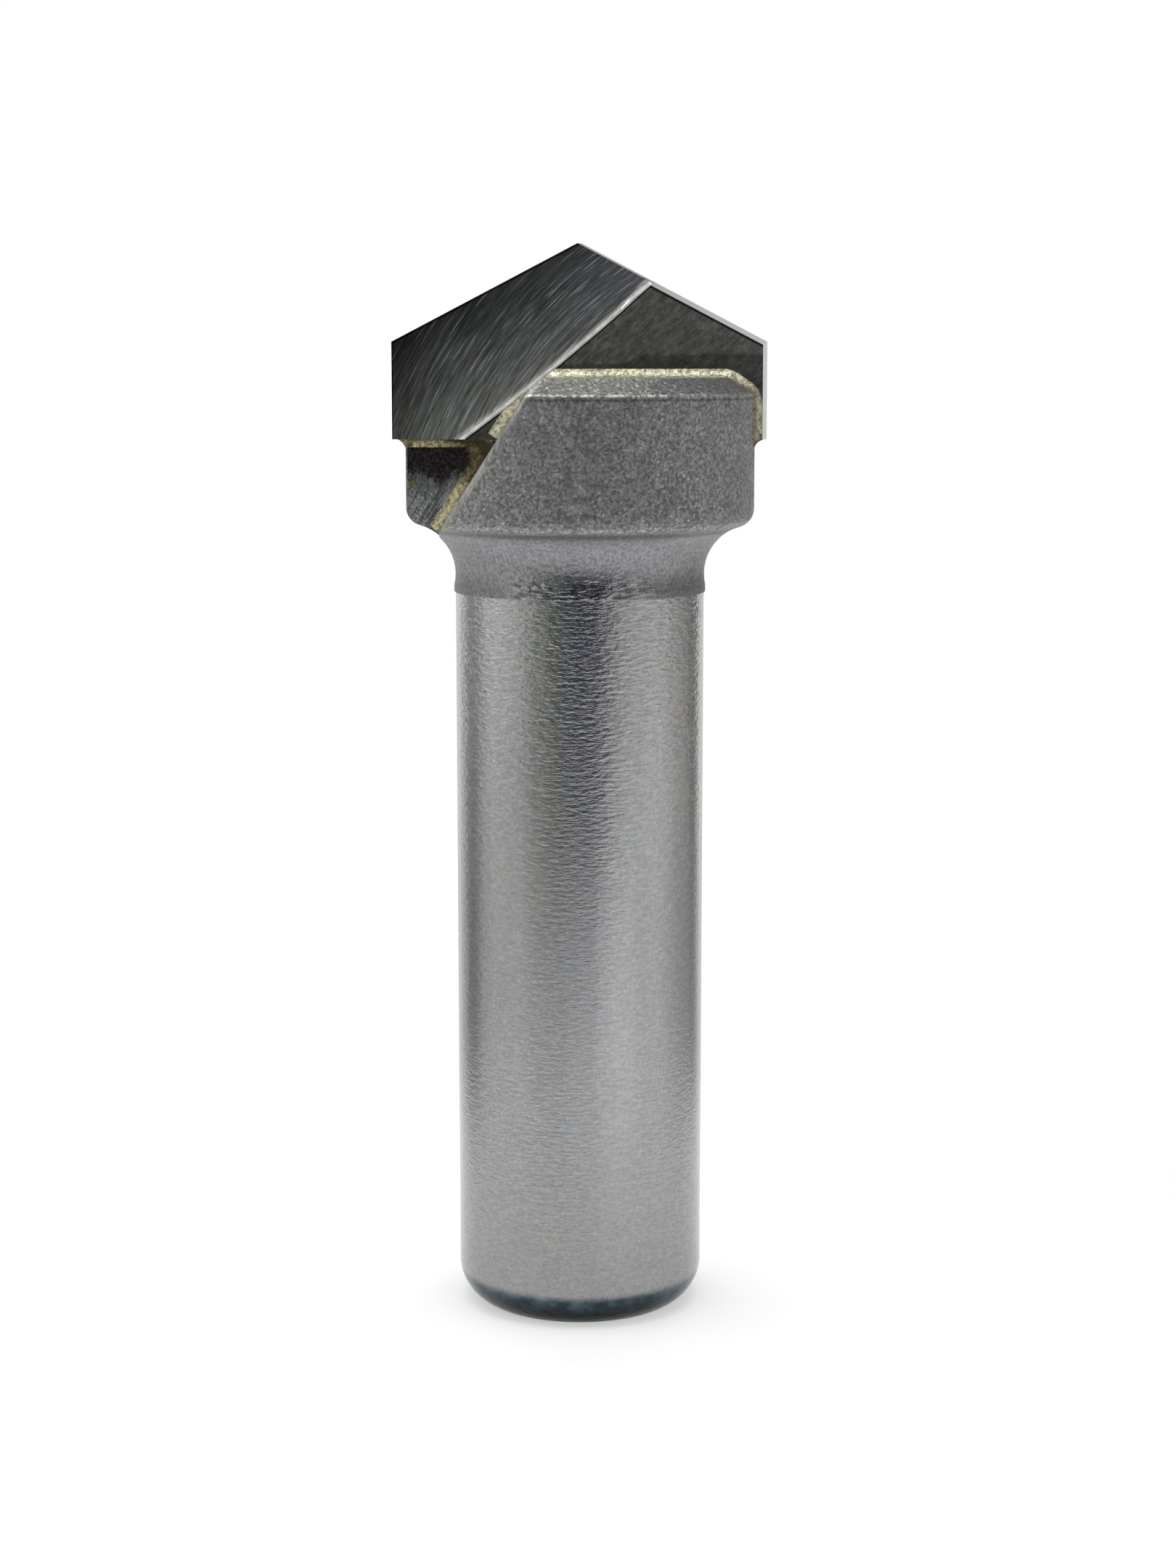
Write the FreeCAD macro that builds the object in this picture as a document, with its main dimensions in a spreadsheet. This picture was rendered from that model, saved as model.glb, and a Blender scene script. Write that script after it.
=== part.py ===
import math
import os

import FreeCAD
import Part
import Sketcher
from FreeCAD import Placement, Rotation, Vector

# V groove router bit: a turned steel body, one carbide plate across its head, and the braze between them.
# The frame has +Z along the axis towards the point, and its origin at the centre of the shank's end face.
# The front is -Y. The bit is the same after half a turn about Z, so each cut is made once and turned.

DOC = FreeCAD.newDocument("v_groove_bit")

# Driving dimensions, in millimetres and degrees.
SIZES = [
    ("shank_diameter", 12.7),          # half inch ground shank
    ("shank_length", 37.3),            # ground length, from the end face to the lip
    ("end_round_radius", 2.26),        # arc between the shank's wall and its end face
    ("end_round_trim", 0.26),          # how much of that round the end face cuts off
    ("lip_step", 0.08),                # unground steel just above the shank, proud of it all round
    ("lip_height", 0.3),
    ("neck_undercut", 0.07),           # waist of the neck, in from the lip
    ("neck_radius", 2.53),             # hollow between the lip and the head
    ("head_height", 10.53),            # top of the lip to the top of the head
    ("head_clearance", 0.635),         # side of the head, in from the cutting circle
    ("head_round_radius", 0.9),        # outer round at the bottom of the head
    ("top_bevel_width", 1.25),
    ("top_bevel_height", 0.85),
    ("slot_depth", 3.13),              # top of the head to the bottom of the plate
    ("braze_film", 0.08),              # clearance that the braze fills, on each wall and on the floor
    ("cutting_diameter", 19.05),       # three quarter inch
    ("point_angle", 125.0),            # between the two sloping cutting edges
    ("plate_thickness", 3.0),
    ("flank_length", 4.9),             # straight side of the plate
    ("web_thickness", 0.65),           # carbide left between the two rake faces
    ("point_relief_angle", 9.0),
    ("side_relief_angle", 10.0),
    ("rake_edge_drop", 5.3),           # point of the plate down to the edge of the rake grind, on the axis
    ("rake_edge_angle", 40.0),         # slope of that edge on the axis
    ("rake_wheel_radius", 110.0),      # the rim that leaves the edge very slightly curved
    ("rake_corner_radius", 0.45),      # worn corner of the wheel, at the foot of the rake face
    ("gullet_inset", 2.07),            # axis to the gullet's wall, at the top of the head
    ("gullet_angle", 57.1),            # slope of the gullet's wall
    ("gullet_floor_depth", 0.3),       # gullet floor, past the middle of the head
    ("gullet_edge_round", 0.25),       # blasted outer edge of the gullet's wall
    ("bead_leg", 0.42),                # braze bead beside the plate
    ("bead_radius", 0.62),             # hollow of a bead's face
    ("gullet_bead_leg", 0.62),         # braze bead down the gullet
    ("gullet_bead_radius", 0.85),
    ("bead_bend_radius", 0.9),         # the bead's path over the bevel
    ("bead_run_out", 0.15),            # end of the gullet's bead, short of the neck
    ("pool_along_plate", 1.9),         # braze pooled where plate, wall and floor meet
    ("pool_along_wall", 2.2),
]

SHEET = DOC.addObject("Spreadsheet::Sheet", "sizes")
for row, (alias, value) in enumerate(SIZES, start=1):
    SHEET.set(f"A{row}", alias)
    SHEET.set(f"B{row}", str(value))
    SHEET.setAlias(f"B{row}", alias)
DOC.recompute()


def size(alias):
    return float(SHEET.get(alias))


# Levels and radii that follow from the driving dimensions.
SHANK_R = size("shank_diameter") / 2
LIP_R = SHANK_R + size("lip_step")
CUT_R = size("cutting_diameter") / 2
HEAD_R = CUT_R - size("head_clearance")
HALF_PLATE = size("plate_thickness") / 2
HALF_WEB = size("web_thickness") / 2
SLOPE = math.radians(90 - size("point_angle") / 2)
WALL = math.radians(size("gullet_angle"))
LIP_TOP = size("shank_length") + size("lip_height")
TOP = LIP_TOP + size("head_height")
PLATE_BOTTOM = TOP - size("slot_depth")
SHOULDER = PLATE_BOTTOM + size("flank_length")
POINT = SHOULDER + CUT_R * math.tan(SLOPE)
# How far the cutting tools reach past the work, and how far a bead is drawn into what it is trimmed by.
REACH = 2 * CUT_R
SINK = 0.3
# The pool of braze: its size at the front of the plate beside that at the gullet's floor, and the radius
# of its hollow side beside the sum of its two legs.
POOL_SHARE = 0.35
POOL_HOLLOW = 0.286
# Points closer than this to a face count as on it, and this many points of an edge are tried.
NEAR = 1e-4
EDGE_SAMPLES = 5

# The same levels and radii, for the constraints.
HEAD_R_EXPR = "(sizes.cutting_diameter / 2 - sizes.head_clearance)"
SLOPE_EXPR = "(90 - sizes.point_angle / 2)"
TOP_EXPR = "(sizes.shank_length + sizes.lip_height + sizes.head_height)"
PLATE_BOTTOM_EXPR = f"({TOP_EXPR} - sizes.slot_depth)"
WALL_AT_PLATE_EXPR = "(sizes.gullet_inset + sizes.slot_depth / tan(sizes.gullet_angle))"

# The sketch's origin, as a constraint names it.
ORIGIN = (-1, 1)


def new_body(name):
    return DOC.addObject("PartDesign::Body", name)


def origin_feature(body, role):
    """One of the body's own origin planes or axes."""
    return next(f for f in body.Origin.OriginFeatures if f.Role == role)


def new_sketch(body, name, plane, x=None, y=None, z=None):
    """A sketch on one of the body's own origin planes, moved in that plane's frame by expressions. On
    XZ_Plane the frame is X, Z and -Y, and on YZ_Plane it is Y, Z and X."""
    sketch = body.newObject("Sketcher::SketchObject", name)
    sketch.AttachmentSupport = (origin_feature(body, plane), [""])
    sketch.MapMode = "FlatFace"
    for axis, expression in (("x", x), ("y", y), ("z", z)):
        if expression:
            sketch.setExpression(f"AttachmentOffset.Base.{axis}", expression)
    return sketch


def draw_loop(sketch, points, arcs=None, smooth=()):
    """A closed outline through the points. arcs gives a centre for each stretch that is round:
    {index of its first point: (centre, turns left)}. smooth lists the stretches that run on tangent to the
    next."""
    arcs = arcs or {}
    count = len(points)
    ids = []
    for i, start in enumerate(points):
        finish = points[(i + 1) % count]
        if i in arcs:
            centre, left = arcs[i]
            ids.append(sketch.addGeometry(arc_edge(centre, start, finish, left), False))
        else:
            ids.append(sketch.addGeometry(Part.LineSegment(Vector(*start, 0), Vector(*finish, 0)), False))
    ends = [(1, 2) if i not in arcs or arcs[i][1] else (2, 1) for i in range(count)]
    for i in range(count):
        following = (i + 1) % count
        joint = "Tangent" if i in smooth else "Coincident"
        here = (ids[i], ends[i][1])
        there = (ids[following], ends[following][0])
        sketch.addConstraint(Sketcher.Constraint(joint, *here, *there))
    return ids


def arc_edge(centre, start, finish, left):
    """Arc from start to finish about centre, counter-clockwise where left is true."""
    first, last = (start, finish) if left else (finish, start)
    angles = [math.atan2(p[1] - centre[1], p[0] - centre[0]) for p in (first, last)]
    radius = math.dist(centre, start)
    circle = Part.Circle(Vector(*centre, 0), Vector(0, 0, 1), radius)
    return Part.ArcOfCircle(circle, angles[0], angles[1])


def bind(sketch, name, kind, references, value, expression):
    """A named constraint whose value follows the sheet."""
    index = sketch.addConstraint(Sketcher.Constraint(kind, *references, value))
    sketch.renameConstraint(index, name)
    sketch.setExpression(f"Constraints.{name}", expression)


def from_origin(point, way):
    """References for the distance from the sketch's origin to a point, positive on the side that way
    gives."""
    return (*ORIGIN, *point) if way > 0 else (*point, *ORIGIN)


def pad(body, name, sketch, expression):
    feature = body.newObject("PartDesign::Pad", name)
    feature.Profile = sketch
    feature.setExpression("Length", expression)
    return feature


def half_turn_copy(body, name, features):
    """The features again, half a turn about the axis of the bit."""
    pattern = body.newObject("PartDesign::PolarPattern", name)
    pattern.Originals = features
    pattern.Axis = (origin_feature(body, "Z_Axis"), [""])
    pattern.Angle = 360
    pattern.Occurrences = 2
    body.Tip = pattern
    return pattern


def cut(name, base, tools):
    """The base with each tool taken away in turn; the last step has the name."""
    for step, tool in enumerate(tools, start=1):
        last = step == len(tools)
        result = DOC.addObject("Part::Cut", name if last else f"{name}_step_{step}")
        result.Base = base
        result.Tool = tool
        base = result
    return base


# Turned steel blank: shank, lip, neck and head. Then the two gullets are milled.
def steel_blank():
    body = new_body("steel_blank")
    sketch = new_sketch(body, "turned_profile", "XZ_Plane")
    draw_turned_profile(sketch)
    turned = body.newObject("PartDesign::Revolution", "turned")
    turned.Profile = sketch
    turned.ReferenceAxis = (origin_feature(body, "Z_Axis"), [""])
    turned.Angle = 360
    DOC.recompute()

    sketch = new_sketch(body, "gullet_outline", "XZ_Plane", z="-sizes.gullet_floor_depth")
    draw_gullet_outline(sketch)
    gullet = body.newObject("PartDesign::Pocket", "gullet")
    gullet.Profile = sketch
    gullet.setExpression("Length", "sizes.cutting_diameter")
    gullet.Reversed = True
    gullets = half_turn_copy(body, "gullets", [gullet])
    DOC.recompute()

    # Blasting has rounded the outer edge of each gullet's wall.
    round_edges(body, "gullet_edges", gullets, on_wall_edge, "gullet_edge_round")
    return body


def draw_turned_profile(sketch):
    end_r = size("end_round_radius")
    end_z = end_r - size("end_round_trim")
    neck_r = size("neck_radius")
    round_r = size("head_round_radius")
    neck_x = LIP_R - size("neck_undercut") + neck_r
    neck_z = LIP_TOP + math.sqrt(neck_r**2 - (neck_x - LIP_R) ** 2)
    round_x = HEAD_R - round_r
    round_z = neck_z + math.sqrt((neck_r + round_r) ** 2 - (neck_x - round_x) ** 2)
    share = neck_r / (neck_r + round_r)
    touch = (neck_x + (round_x - neck_x) * share, neck_z + (round_z - neck_z) * share)
    flat_r = SHANK_R - end_r + math.sqrt(end_r**2 - end_z**2)
    points = [
        (0, 0),
        (flat_r, 0),
        (SHANK_R, end_z),
        (SHANK_R, size("shank_length")),
        (LIP_R, size("shank_length")),
        (LIP_R, LIP_TOP),
        touch,
        (HEAD_R, round_z),
        (HEAD_R, TOP - size("top_bevel_height")),
        (HEAD_R - size("top_bevel_width"), TOP),
        (0, TOP),
    ]
    arcs = {
        1: ((SHANK_R - end_r, end_z), True),
        5: ((neck_x, neck_z), False),
        6: ((round_x, round_z), True),
    }
    ids = draw_loop(sketch, points, arcs, smooth=(1, 5, 6))
    for line in (0, 3, 9):
        sketch.addConstraint(Sketcher.Constraint("Horizontal", ids[line]))
    for line in (2, 4, 7, 10):
        sketch.addConstraint(Sketcher.Constraint("Vertical", ids[line]))
    sketch.addConstraint(Sketcher.Constraint("Coincident", ids[0], 1, *ORIGIN))
    bind(sketch, "shank", "DistanceX", (*ORIGIN, ids[2], 1), SHANK_R, "sizes.shank_diameter / 2")
    bind(sketch, "end_round", "Radius", (ids[1],), end_r, "sizes.end_round_radius")
    bind(sketch, "end_level", "DistanceY", (*ORIGIN, ids[2], 1), end_z,
         "sizes.end_round_radius - sizes.end_round_trim")
    bind(sketch, "ground", "DistanceY", (*ORIGIN, ids[3], 1), size("shank_length"), "sizes.shank_length")
    bind(sketch, "lip", "DistanceX", (ids[3], 1, ids[3], 2), size("lip_step"), "sizes.lip_step")
    bind(sketch, "lip_level", "DistanceY", (ids[4], 1, ids[4], 2), size("lip_height"), "sizes.lip_height")
    bind(sketch, "neck", "Radius", (ids[5],), neck_r, "sizes.neck_radius")
    bind(sketch, "neck_middle", "DistanceX", (*ORIGIN, ids[5], 3), neck_x,
         "sizes.shank_diameter / 2 + sizes.lip_step - sizes.neck_undercut + sizes.neck_radius")
    bind(sketch, "head_round", "Radius", (ids[6],), round_r, "sizes.head_round_radius")
    bind(sketch, "head", "DistanceX", (*ORIGIN, ids[7], 2), HEAD_R, HEAD_R_EXPR)
    bind(sketch, "bevel_width", "DistanceX", (ids[8], 2, ids[8], 1), size("top_bevel_width"),
         "sizes.top_bevel_width")
    bind(sketch, "bevel_height", "DistanceY", (ids[8], 1, ids[8], 2), size("top_bevel_height"),
         "sizes.top_bevel_height")
    bind(sketch, "top", "DistanceY", (*ORIGIN, ids[9], 1), TOP, TOP_EXPR)


def draw_gullet_outline(sketch):
    """All that is milled away in front of a gullet's floor, beyond its sloping wall."""
    above = TOP + SINK
    foot = size("shank_length")
    points = [(wall_x(above), above), (-REACH, above), (-REACH, foot), (wall_x(foot), foot)]
    ids = draw_loop(sketch, points)
    sketch.addConstraint(Sketcher.Constraint("Horizontal", ids[0]))
    sketch.addConstraint(Sketcher.Constraint("Vertical", ids[1]))
    sketch.addConstraint(Sketcher.Constraint("Horizontal", ids[2]))
    bind(sketch, "foot_level", "DistanceY", (*ORIGIN, ids[3], 1), foot, "sizes.shank_length")
    bind(sketch, "foot_place", "DistanceX", (ids[3], 1, *ORIGIN), -wall_x(foot),
         "sizes.gullet_inset + (sizes.lip_height + sizes.head_height) / tan(sizes.gullet_angle)")
    bind(sketch, "wall_angle", "Angle", (*ORIGIN, ids[3], 1), WALL, "sizes.gullet_angle")
    bind(sketch, "top_level", "DistanceY", (*ORIGIN, ids[0], 1), above, f"{TOP_EXPR} + {SINK}")
    bind(sketch, "outer_reach", "DistanceX", (ids[1], 1, *ORIGIN), REACH, "sizes.cutting_diameter")


def wall_x(level):
    """Where the front gullet's wall stands at a level."""
    return -size("gullet_inset") - (TOP - level) / math.tan(WALL)


def round_edges(body, name, base, chosen, radius):
    """Fillets the edges of a feature for which chosen is true."""
    edges = [f"Edge{i}" for i, edge in enumerate(base.Shape.Edges, start=1) if chosen(edge)]
    rounded = body.newObject("PartDesign::Fillet", name)
    rounded.Base = (base, edges)
    rounded.Radius = size(radius)
    rounded.setExpression("Radius", f"sizes.{radius}")
    body.Tip = rounded
    return rounded


def turned_x(point):
    """x of a point, after the half turn that takes what is behind the axis to the front."""
    return -point.x if point.y > 0 else point.x


def on_wall_edge(edge):
    """True for the edge where a gullet's wall meets the outside of the head."""
    points = edge.discretize(EDGE_SAMPLES)
    between = points[1:-1]
    on_wall = all(abs(turned_x(p) - wall_x(p.z)) < NEAR for p in between)
    outside = min(abs(p.y) for p in between) > size("gullet_floor_depth") + SINK
    steep = max(p.z for p in points) - min(p.z for p in points) > SINK
    return on_wall and outside and steep


# Carbide plate before its rake faces are ground. Every outer face falls back behind the cutting edge that
# it meets.
def plate_outline(body, name, front):
    """The outline at the front or the rear face of the plate."""
    side = 1 if front else -1
    sketch = new_sketch(body, name, "XZ_Plane", z=f"{side} * sizes.plate_thickness / 2")
    # How far this face lies behind the cutting edge of the left half, then of the right half.
    behind = [HALF_WEB - side * HALF_PLATE, HALF_WEB + side * HALF_PLATE]
    behind_expr = [
        f"(sizes.web_thickness - {side} * sizes.plate_thickness) / 2",
        f"(sizes.web_thickness + {side} * sizes.plate_thickness) / 2",
    ]
    rise = math.tan(SLOPE)
    side_fall = math.tan(math.radians(size("side_relief_angle")))
    point_fall = math.tan(math.radians(size("point_relief_angle")))
    shoulder_fall = point_fall / math.cos(SLOPE) - side_fall * rise
    side_expr = "tan(sizes.side_relief_angle)"
    fall_expr = f"(tan(sizes.point_relief_angle) / cos({SLOPE_EXPR}) - {side_expr} * tan({SLOPE_EXPR}))"
    flanks = [CUT_R - back * side_fall for back in behind]
    shoulders = [SHOULDER - back * shoulder_fall for back in behind]
    apex_x = ((shoulders[1] - shoulders[0]) / rise + flanks[1] - flanks[0]) / 2
    points = [
        (-flanks[0], PLATE_BOTTOM),
        (flanks[1], PLATE_BOTTOM),
        (flanks[1], shoulders[1]),
        (apex_x, shoulders[0] + (apex_x + flanks[0]) * rise),
        (-flanks[0], shoulders[0]),
    ]
    ids = draw_loop(sketch, points)
    sketch.addConstraint(Sketcher.Constraint("Horizontal", ids[0]))
    sketch.addConstraint(Sketcher.Constraint("Vertical", ids[1]))
    sketch.addConstraint(Sketcher.Constraint("Vertical", ids[4]))
    bind(sketch, "bottom", "DistanceY", (*ORIGIN, ids[0], 1), PLATE_BOTTOM, PLATE_BOTTOM_EXPR)
    across = [(ids[0], 1, *ORIGIN), (*ORIGIN, ids[0], 2)]
    up = [(*ORIGIN, ids[4], 1), (*ORIGIN, ids[1], 2)]
    for i, half in enumerate(("left", "right")):
        bind(sketch, f"{half}_flank", "DistanceX", across[i], flanks[i],
             f"sizes.cutting_diameter / 2 - {behind_expr[i]} * {side_expr}")
        bind(sketch, f"{half}_shoulder", "DistanceY", up[i], shoulders[i],
             f"{PLATE_BOTTOM_EXPR} + sizes.flank_length - {behind_expr[i]} * {fall_expr}")
    bind(sketch, "right_slope", "Angle", (ids[2],), math.pi - SLOPE, f"180 - {SLOPE_EXPR}")
    bind(sketch, "left_slope", "Angle", (ids[3],), SLOPE - math.pi, f"{SLOPE_EXPR} - 180")
    return sketch


def carbide_blank():
    body = new_body("carbide_blank")
    front = plate_outline(body, "front_outline", True)
    rear = plate_outline(body, "rear_outline", False)
    plate = body.newObject("PartDesign::AdditiveLoft", "plate")
    plate.Profile = front
    plate.Sections = [rear]
    plate.Ruled = True
    return body


def draw_rake_outline(sketch):
    """The outline swept by the wheel that grinds a rake face: all that lies above a long shallow arc."""
    wheel = size("rake_wheel_radius")
    slope = math.radians(size("rake_edge_angle"))
    foot = POINT - size("rake_edge_drop")
    centre = (-wheel * math.sin(slope), foot + wheel * math.cos(slope))
    above = POINT + SINK
    right = centre[0] + math.sqrt(wheel**2 - (centre[1] - above) ** 2)
    low = centre[1] - math.sqrt(wheel**2 - (centre[0] + REACH) ** 2)
    points = [(-REACH, low), (right, above), (-REACH, above)]
    ids = draw_loop(sketch, points, {0: (centre, True)})
    sketch.addConstraint(Sketcher.Constraint("Horizontal", ids[1]))
    sketch.addConstraint(Sketcher.Constraint("Vertical", ids[2]))
    rise_expr = f"sizes.cutting_diameter / 2 * tan({SLOPE_EXPR})"
    point_expr = f"({PLATE_BOTTOM_EXPR} + sizes.flank_length + {rise_expr})"
    bind(sketch, "wheel", "Radius", (ids[0],), wheel, "sizes.rake_wheel_radius")
    bind(sketch, "centre_side", "DistanceX", (ids[0], 3, *ORIGIN), -centre[0],
         "sizes.rake_wheel_radius * sin(sizes.rake_edge_angle)")
    bind(sketch, "centre_level", "DistanceY", (*ORIGIN, ids[0], 3), centre[1],
         f"{point_expr} - sizes.rake_edge_drop + sizes.rake_wheel_radius * cos(sizes.rake_edge_angle)")
    bind(sketch, "above", "DistanceY", (*ORIGIN, ids[1], 1), above, f"{point_expr} + {SINK}")
    bind(sketch, "outside", "DistanceX", (ids[2], 1, *ORIGIN), REACH, "sizes.cutting_diameter")


# Room swept by the rake wheel, in front of one half of the plate and behind the other.
def grind_path():
    body = new_body("grind_path")
    sketch = new_sketch(body, "rake_outline", "XZ_Plane", z="sizes.web_thickness / 2")
    draw_rake_outline(sketch)
    swept = pad(body, "swept", sketch, "sizes.cutting_diameter")
    both = half_turn_copy(body, "both_sides", [swept])
    DOC.recompute()
    round_edges(body, "wheel_corner", both, on_rake_foot, "rake_corner_radius")
    return body


def on_rake_foot(edge):
    """True for the long arc at the inner end of the ground room."""
    inside = all(abs(abs(p.y) - HALF_WEB) < NEAR for p in edge.discretize(EDGE_SAMPLES))
    return inside and isinstance(edge.Curve, Part.Circle)


# Slot across the head, wider and deeper than the plate by the film of braze.
def slot_block():
    block = DOC.addObject("Part::Box", "slot_block")
    block.setExpression("Length", "2 * sizes.cutting_diameter")
    block.setExpression("Width", "sizes.plate_thickness + 2 * sizes.braze_film")
    block.setExpression("Height", "sizes.slot_depth + sizes.braze_film + sizes.cutting_diameter")
    block.setExpression("Placement.Base.x", "-sizes.cutting_diameter")
    block.setExpression("Placement.Base.y", "-sizes.plate_thickness / 2 - sizes.braze_film")
    block.setExpression("Placement.Base.z", f"{PLATE_BOTTOM_EXPR} - sizes.braze_film")
    return block


def bead_section(sketch, kind, across, up):
    """A bead's section, with the corner of its two faces at the sketch's origin: hollow outside, and sunk
    past both faces. across and up are 1 or -1, the way the bead lies from the corner."""
    leg = size(f"{kind}_leg")
    radius = size(f"{kind}_radius")
    middle = leg / 2 + math.sqrt(radius**2 / 2 - leg**2 / 4)
    spots = [(-SINK, -SINK), (leg, -SINK), (leg, 0), (0, leg), (-SINK, leg)]
    points = [(across * u, up * v) for u, v in spots]
    ids = draw_loop(sketch, points, {2: ((across * middle, up * middle), across * up < 0)})
    for line in (0, 3):
        sketch.addConstraint(Sketcher.Constraint("Horizontal", ids[line]))
    for line in (1, 4):
        sketch.addConstraint(Sketcher.Constraint("Vertical", ids[line]))
    sketch.addConstraint(Sketcher.Constraint("Horizontal", ids[1], 2, *ORIGIN))
    sketch.addConstraint(Sketcher.Constraint("Vertical", ids[3], 1, *ORIGIN))
    bind(sketch, "leg_across", "DistanceX", from_origin((ids[1], 2), across), leg, f"sizes.{kind}_leg")
    bind(sketch, "leg_up", "DistanceY", from_origin((ids[3], 1), up), leg, f"sizes.{kind}_leg")
    bind(sketch, "hollow", "Radius", (ids[2],), radius, f"sizes.{kind}_radius")
    sketch.addConstraint(Sketcher.Constraint("DistanceX", *from_origin((ids[0], 1), -across), SINK))
    sketch.addConstraint(Sketcher.Constraint("DistanceY", *from_origin((ids[0], 1), -up), SINK))


def wall_section(body, name, depth):
    """A sketch square to the gullet's wall where it meets the plate's underside, at a depth behind the
    axis. Its frame has X into the wall, Y to the rear and Z up along the wall."""
    sketch = new_sketch(body, name, "XY_Plane", f"-{WALL_AT_PLATE_EXPR}", depth, PLATE_BOTTOM_EXPR)
    sketch.AttachmentOffset = Placement(Vector(), Rotation(Vector(0, 1, 0), 90 - size("gullet_angle")))
    sketch.setExpression("AttachmentOffset.Rotation.Angle", "90 - sizes.gullet_angle")
    return sketch


def draw_bead_path(sketch):
    """Along the top of the head, down its bevel and down its side to the bottom of the plate, with tangent
    arcs. Each corner stays as a point, on the runs that lead to it."""
    side_x = math.sqrt(HEAD_R**2 - HALF_PLATE**2)
    corners = [
        (wall_x(TOP) - size("bead_leg"), TOP),
        (math.sqrt((HEAD_R - size("top_bevel_width")) ** 2 - HALF_PLATE**2), TOP),
        (side_x, TOP - size("top_bevel_height")),
        (side_x, PLATE_BOTTOM),
    ]
    radius = size("bead_bend_radius")
    runs = []
    marks = []
    start = Vector(*corners[0], 0)
    for before, corner, after in zip(corners, corners[1:], corners[2:]):
        turn = Vector(*corner, 0)
        back = (Vector(*before, 0) - turn).normalize()
        ahead = (Vector(*after, 0) - turn).normalize()
        half = back.getAngle(ahead) / 2
        first = turn + back * (radius / math.tan(half))
        last = turn + ahead * (radius / math.tan(half))
        middle = turn + (back + ahead).normalize() * (radius / math.sin(half))
        runs.append(sketch.addGeometry(Part.LineSegment(start, first), False))
        runs.append(sketch.addGeometry(arc_edge(middle[:2], first[:2], last[:2], False), False))
        marks.append(sketch.addGeometry(Part.Point(turn), True))
        start = last
    runs.append(sketch.addGeometry(Part.LineSegment(start, Vector(*corners[-1], 0)), False))
    for arc in (1, 3):
        sketch.addConstraint(Sketcher.Constraint("Tangent", runs[arc - 1], 2, runs[arc], 2))
        sketch.addConstraint(Sketcher.Constraint("Tangent", runs[arc], 1, runs[arc + 1], 1))
        bind(sketch, f"bend_{arc}", "Radius", (runs[arc],), radius, "sizes.bead_bend_radius")
    for mark, lines in zip(marks, ((0, 2), (2, 4))):
        for line in lines:
            sketch.addConstraint(Sketcher.Constraint("PointOnObject", mark, 1, runs[line]))
    sketch.addConstraint(Sketcher.Constraint("Horizontal", runs[0]))
    sketch.addConstraint(Sketcher.Constraint("Vertical", runs[4]))
    bind(sketch, "start", "DistanceX", (runs[0], 1, *ORIGIN), -corners[0][0],
         "sizes.gullet_inset + sizes.bead_leg")
    bind(sketch, "top", "DistanceY", (*ORIGIN, runs[0], 1), TOP, TOP_EXPR)
    bind(sketch, "bevel_start", "DistanceX", (*ORIGIN, marks[0], 1), corners[1][0],
         f"sqrt(({HEAD_R_EXPR} - sizes.top_bevel_width) ^ 2 - (sizes.plate_thickness / 2) ^ 2)")
    bind(sketch, "side", "DistanceX", (*ORIGIN, marks[1], 1), side_x,
         f"sqrt({HEAD_R_EXPR} ^ 2 - (sizes.plate_thickness / 2) ^ 2)")
    bind(sketch, "bevel_end", "DistanceY", (*ORIGIN, marks[1], 1), corners[2][1],
         f"{TOP_EXPR} - sizes.top_bevel_height")
    bind(sketch, "end", "DistanceY", (*ORIGIN, runs[4], 2), PLATE_BOTTOM, PLATE_BOTTOM_EXPR)


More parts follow.
